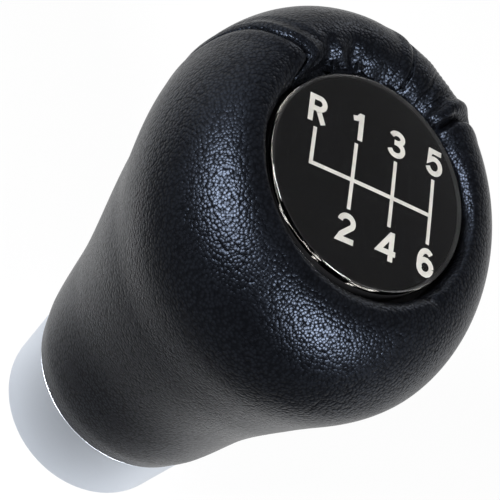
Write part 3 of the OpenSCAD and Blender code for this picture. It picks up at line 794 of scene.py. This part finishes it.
# Heights on the grip below which the grain is flattened, and above which it is full
FLAT_BELOW = 30
FULL_ABOVE = 65

leather, tree, shader = new_material("black_pebbled_leather")
place = add_node(tree, "ShaderNodeTexCoord").outputs["Object"]
cells = add_node(tree, "ShaderNodeTexVoronoi", {"Vector": place}, Scale=1 / (PEBBLE * MM))
hollow = add_node(
    tree,
    "ShaderNodeMath",
    {0: cells.outputs["Distance"], 1: cells.outputs["Distance"]},
    operation="MULTIPLY",
)
pores = add_node(tree, "ShaderNodeTexNoise", {"Vector": place}, Scale=1 / (PORE * MM), Detail=2)
grain = add_node(
    tree,
    "ShaderNodeMath",
    {0: pores.outputs["Fac"], 2: hollow.outputs[0]},
    operation="MULTIPLY_ADD",
)
grain.inputs[1].default_value = PORE_RISE / RELIEF
up_grip = add_node(tree, "ShaderNodeSeparateXYZ", {"Vector": place}).outputs["Z"]
stretch = add_node(
    tree,
    "ShaderNodeMapRange",
    {"Value": up_grip},
    From_Min=FLAT_BELOW * MM,
    From_Max=FULL_ABOVE * MM,
    To_Min=FLANK_RELIEF,
    To_Max=1,
)
relief = add_node(
    tree,
    "ShaderNodeBump",
    {"Height": grain.outputs[0], "Strength": stretch.outputs["Result"]},
    invert=True,
    Distance=RELIEF * MM,
)
tree.links.new(relief.outputs["Normal"], shader.inputs["Normal"])
print("pebbles along the grip:", round(CREST_RISE / PEBBLE))

# %% [markdown]
# The domes are polished by hands and the valleys stay duller, so the gloss follows the cells. The colour is
# painted darker in the valleys between the domes, as painted shade. Slow noise varies the sheen, as on any
# hide.

# %% Gloss and colour of the leather
GLOSS_PATCH = 25 / 3

gloss = add_node(tree, "ShaderNodeTexNoise", {"Vector": place}, Scale=1 / (GLOSS_PATCH * MM), Detail=3)
roughness = add_node(
    tree,
    "ShaderNodeMapRange",
    {"Value": gloss.outputs["Fac"]},
    From_Min=0.3,
    From_Max=0.7,
    To_Min=0.25,
    To_Max=0.31,
)
# The dye, with painted shade in the valleys: darker the further a place is from a cell's middle
dye_with_valley_shade = add_node(tree, "ShaderNodeMix", {"Factor": cells.outputs["Distance"]}, data_type="RGBA")
dye_with_valley_shade.inputs["A"].default_value = colour("#0a0b0e")
dye_with_valley_shade.inputs["B"].default_value = colour("#030304")
shine = add_node(
    tree,
    "ShaderNodeMapRange",
    {"Value": cells.outputs["Distance"]},
    From_Min=0.25,
    From_Max=0.6,
    To_Min=0.5,
    To_Max=0.22,
)
tree.links.new(shine.outputs["Result"], shader.inputs["Specular IOR Level"])
tree.links.new(dye_with_valley_shade.outputs["Result"], shader.inputs["Base Color"])
tree.links.new(roughness.outputs["Result"], shader.inputs["Roughness"])
set_shader(shader, IOR=1.5, Specular_Tint=colour("#cadcfd"))
give(leather, cover_front, cover_back)
print("nodes in the leather:", len(tree.nodes))

# %% [markdown]
# ### Satin aluminium
# The collar is turned aluminium, blasted fine and anodised clear. That gives a cool light grey with a soft
# sheen and no visible lines. The blasting is far finer than a pixel, so it shows as roughness, and a faint
# grain is drawn as coarse as it needs to be seen close up.

# %% Collar, with sizes in millimetres
BLAST_GRAIN = 1 / 6
METAL_RELIEF = 0.05

aluminium, tree, shader = new_material("satin_anodised_aluminium")
place = add_node(tree, "ShaderNodeTexCoord").outputs["Object"]
blast = add_node(tree, "ShaderNodeTexNoise", {"Vector": place}, Scale=1 / (BLAST_GRAIN * MM), Detail=2)
relief = add_node(
    tree, "ShaderNodeBump", {"Height": blast.outputs["Fac"]}, Strength=0.08, Distance=METAL_RELIEF * MM
)
tree.links.new(relief.outputs["Normal"], shader.inputs["Normal"])
set_shader(shader, Base_Color=colour("#eef5ff"), Metallic=1.0, Roughness=0.42)
give(aluminium, nodes["collar"])
print("blasted grains round the collar:", round(math.pi * DIAMETERS[0] / BLAST_GRAIN))

# %% [markdown]
# ### Dial
# The plate is black under clear polyurethane resin, and the print is off-white ink. The resin wets both, so
# they have no gloss of their own: all of it comes from the dome.

# %% Dial materials
resin, _, shader = new_material("clear_domed_resin")
set_shader(shader, Base_Color=colour("#ffffff"), Transmission_Weight=1.0, Roughness=0.02, IOR=1.48)
give(resin, dome)

black_print, _, shader = new_material("gloss_black_print")
set_shader(shader, Base_Color=colour("#08080a"), Roughness=0.3, Specular_IOR_Level=0.0)
give(black_print, nodes["dial_plate"])

ink, _, shader = new_material("off_white_ink")
set_shader(shader, Base_Color=colour("#ece9e2"), Roughness=0.5, Specular_IOR_Level=0.0)
give(ink, pattern)
print("dial materials:", [material.name for material in (resin, black_print, ink)])

# %% [markdown]
# ### The pieces inside and below
# Seen from below, the knob shows the black carrier with its zinc plated screws and the pale nylon socket for
# the lever. The core, the foam and the end pad are hidden. All are plain moulded or plated pieces. The grit
# of a spark eroded mould and the marks of turning are drawn a little coarser than they are, so that they
# show.

# %% Finishes of plastics, rubber, foam and steel
TURNING_MARK = 1 / 3


def moulded(name, code, roughness, grit_mm, depth_mm):
    """A moulded finish: an even colour with a fine spark eroded grain."""
    material, tree, shader = new_material(name)
    place = add_node(tree, "ShaderNodeTexCoord").outputs["Object"]
    grit = add_node(tree, "ShaderNodeTexNoise", {"Vector": place}, Scale=1 / (grit_mm * MM), Detail=3)
    relief = add_node(
        tree, "ShaderNodeBump", {"Height": grit.outputs["Fac"]}, Strength=0.4, Distance=depth_mm * MM
    )
    tree.links.new(relief.outputs["Normal"], shader.inputs["Normal"])
    set_shader(shader, Base_Color=colour(code), Roughness=roughness, IOR=1.5)
    return material


def plated(name, code, roughness):
    """A plated or bright steel finish with faint turning marks."""
    material, tree, shader = new_material(name)
    place = add_node(tree, "ShaderNodeTexCoord").outputs["Object"]
    marks = add_node(tree, "ShaderNodeTexNoise", {"Vector": place}, Scale=1 / (TURNING_MARK * MM), Detail=2)
    relief = add_node(
        tree, "ShaderNodeBump", {"Height": marks.outputs["Fac"]}, Strength=0.15, Distance=METAL_RELIEF * MM
    )
    tree.links.new(relief.outputs["Normal"], shader.inputs["Normal"])
    set_shader(shader, Base_Color=colour(code), Metallic=1.0, Roughness=roughness)
    return material


black_plastic = moulded("black_moulded_plastic", "#1c1c1e", 0.5, 0.25, 0.03)
give(black_plastic, nodes["collar_carrier"], nodes["dial_cup"])
grey_plastic = moulded("grey_moulded_plastic", "#303034", 0.55, 0.3, 0.03)
give(grey_plastic, nodes["core_left"], nodes["core_right"])
nylon = moulded("natural_nylon", "#e2ddcf", 0.4, 0.4, 0.02)
give(nylon, nodes["lever_socket"])
rubber = moulded("black_rubber", "#242426", 0.7, 0.2, 0.03)
give(rubber, nodes["end_pad"])
foam_skin = moulded("moulded_foam", "#58585c", 0.85, 0.5, 0.15)
give(foam_skin, foam)
tape = moulded("adhesive_tape", "#3a3a3c", 0.6, 0.3, 0.02)
give(tape, nodes["dial_tape"])
zinc = plated("zinc_plated_steel", "#b4b5b8", 0.3)
give(zinc, nodes["carrier_screws"], nodes["core_screws"])
spring_steel = plated("oiled_spring_steel", "#8d9096", 0.35)
give(spring_steel, nodes["socket_spring"])
print("materials:", len(bpy.data.materials))

# %% [markdown]
# ## Floor and light
# The knob stands on a plain pale floor. The Light Path node gives the camera a floor that glows at full
# white, and a tenth of what it sees is the plain surface under the lamps, which keeps the knob's shadow. The
# leather, the metal and the dome mirror the floor's glow, and there it is painted with shade by its place:
# bright behind the knob, with a painted shadow of the knob in front of it and painted shade further out,
# towards the open side of the tent, so what faces the photographer stays dark.

# %% Floor, with sizes in metres
FLOOR_SIZE = 3
OPEN_SIDE = (-0.64, -0.77, 0)
GLOW_SHARE = 0.9

bpy.ops.mesh.primitive_plane_add(size=FLOOR_SIZE)
floor = new_piece("floor")
white, tree, shader = new_material("white_floor")
set_shader(shader, Base_Color=colour("#f2f2f2"), Roughness=0.9)
place = add_node(tree, "ShaderNodeTexCoord").outputs["Object"]
toward = add_node(tree, "ShaderNodeVectorMath", {0: place}, operation="DOT_PRODUCT")
toward.inputs[1].default_value = OPEN_SIDE
# In metres towards the open side: a painted shadow from 3 cm on, and painted shade darker still from 8 cm
# to half a metre
near = add_node(
    tree,
    "ShaderNodeMapRange",
    {"Value": toward.outputs["Value"]},
    From_Min=0.006,
    From_Max=0.03,
    To_Min=0.7,
    To_Max=0.04,
)
far = add_node(
    tree,
    "ShaderNodeMapRange",
    {"Value": toward.outputs["Value"]},
    From_Min=0.08,
    From_Max=0.5,
    To_Min=1,
    To_Max=0.15,
)
# Strength of the floor's glow in mirror images, with the painted shadow and the painted shade
mirrored_glow_with_painted_shade = add_node(
    tree, "ShaderNodeMath", {0: near.outputs["Result"], 1: far.outputs["Result"]}, operation="MULTIPLY"
)
print("floor across in m:", FLOOR_SIZE)

# %% Glow of the floor
path = add_node(tree, "ShaderNodeLightPath")
# The camera sees the full white glow; mirror images and refractions see the glow with its painted shade
bright = add_node(
    tree,
    "ShaderNodeMath",
    {0: path.outputs["Is Camera Ray"], 1: mirrored_glow_with_painted_shade.outputs[0]},
    operation="MAXIMUM",
)
seen_or_mirrored = add_node(
    tree,
    "ShaderNodeMath",
    {0: path.outputs["Is Camera Ray"], 1: path.outputs["Is Glossy Ray"]},
    operation="MAXIMUM",
)
shown = add_node(
    tree,
    "ShaderNodeMath",
    {0: seen_or_mirrored.outputs[0], 1: path.outputs["Is Transmission Ray"]},
    operation="MAXIMUM",
)
glow_share = add_node(tree, "ShaderNodeMath", {0: shown.outputs[0]}, operation="MULTIPLY")
glow_share.inputs[1].default_value = GLOW_SHARE
glow = add_node(tree, "ShaderNodeEmission", {"Strength": bright.outputs[0]}, Color=colour("#ffffff"))
mix = add_node(
    tree,
    "ShaderNodeMixShader",
    {0: glow_share.outputs[0], 1: shader.outputs["BSDF"], 2: glow.outputs["Emission"]},
)
tree.links.new(mix.outputs["Shader"], tree.nodes["Material Output"].inputs["Surface"])
give(white, floor)
print("nodes in the floor:", len(tree.nodes))

# %% [markdown]
# ### Lamps and tent
# Two round soft boxes, one at the left and one in front, make the two round highlights on the head. The tent
# round them is white at the sides and open towards the photographer, so the leather stays dark where it faces
# that way. A broad patch of the tent at the left and a small one behind are brighter: they give the far side
# of the head its edge of light.

# %% Lamps, with sizes in metres
LAMP_TARGET = Vector((0, 0, 0.07))
LAMP_DISTANCE = 0.5
# The way to each lamp, its diameter and its power in watts
LAMPS = {
    "left_box": ((-0.82, -0.15, 0.56), 0.25, 3.6),
    "front_box": ((0.2, -0.75, 0.64), 0.2, 2.9),
}

for name, (direction, diameter, power) in LAMPS.items():
    data = bpy.data.lights.new(name, "AREA")
    data.shape = "DISK"
    data.size = diameter
    data.energy = power
    lamp = bpy.data.objects.new(name, data)
    bpy.context.scene.collection.objects.link(lamp)
    away = Vector(direction).normalized()
    lamp.location = LAMP_TARGET + away * LAMP_DISTANCE
    lamp.rotation_euler = away.to_track_quat("Z", "Y").to_euler()
    print(name, "in m:", [round(v, 3) for v in lamp.location])

# %% Tent
OPENING_WAY = (-0.6, -0.75, 0.15)
# Bright patches of the tent: the way to each, the cosine of its half width, its strength
PATCHES = [
    ((-0.7, 0.62, 0.36), 0.5, 0.4),
    ((0.34, 0.8, 0.5), 0.955, 1.2),
]

world = bpy.data.worlds.new("tent")
bpy.context.scene.world = world
world.use_nodes = True
tree = world.node_tree
background = tree.nodes["Background"]
background.inputs["Color"].default_value = colour("#ffffff")
way = add_node(tree, "ShaderNodeTexCoord").outputs["Generated"]
up = add_node(tree, "ShaderNodeSeparateXYZ", {"Vector": way}).outputs["Z"]
walls = add_node(
    tree,
    "ShaderNodeMapRange",
    {"Value": up},
    interpolation_type="SMOOTHSTEP",
    From_Min=0.3,
    From_Max=0.8,
    To_Min=0.36,
    To_Max=0.12,
)
opening = add_node(tree, "ShaderNodeVectorMath", {0: way}, operation="DOT_PRODUCT")
opening.inputs[1].default_value = Vector(OPENING_WAY).normalized()
open_side = add_node(
    tree,
    "ShaderNodeMapRange",
    {"Value": opening.outputs["Value"]},
    interpolation_type="SMOOTHSTEP",
    From_Min=0.3,
    From_Max=0.85,
    To_Min=1,
    To_Max=0.06,
)
tent = add_node(
    tree,
    "ShaderNodeMath",
    {0: walls.outputs["Result"], 1: open_side.outputs["Result"]},
    operation="MULTIPLY",
)
for patch_way, edge, glow_strength in PATCHES:
    nearness = add_node(tree, "ShaderNodeVectorMath", {0: way}, operation="DOT_PRODUCT")
    nearness.inputs[1].default_value = Vector(patch_way).normalized()
    patch = add_node(
        tree,
        "ShaderNodeMapRange",
        {"Value": nearness.outputs["Value"]},
        interpolation_type="SMOOTHSTEP",
        From_Min=edge,
        From_Max=1,
        To_Min=0,
        To_Max=glow_strength,
    )
    tent = add_node(tree, "ShaderNodeMath", {0: tent.outputs[0], 1: patch.outputs["Result"]}, operation="ADD")
path = add_node(tree, "ShaderNodeLightPath")
strength = add_node(
    tree, "ShaderNodeMath", {0: path.outputs["Is Camera Ray"], 1: tent.outputs[0]}, operation="MAXIMUM"
)
tree.links.new(strength.outputs[0], background.inputs["Strength"])
print("nodes in the tent:", len(tree.nodes))

# %% [markdown]
# ## Last measures
# The dressed knob stays in the box of the solid model, give or take what leather may stand proud. The last
# line sets the colour view.

# %% Finish
scene = bpy.context.scene
scene.view_settings.view_transform = "Standard"
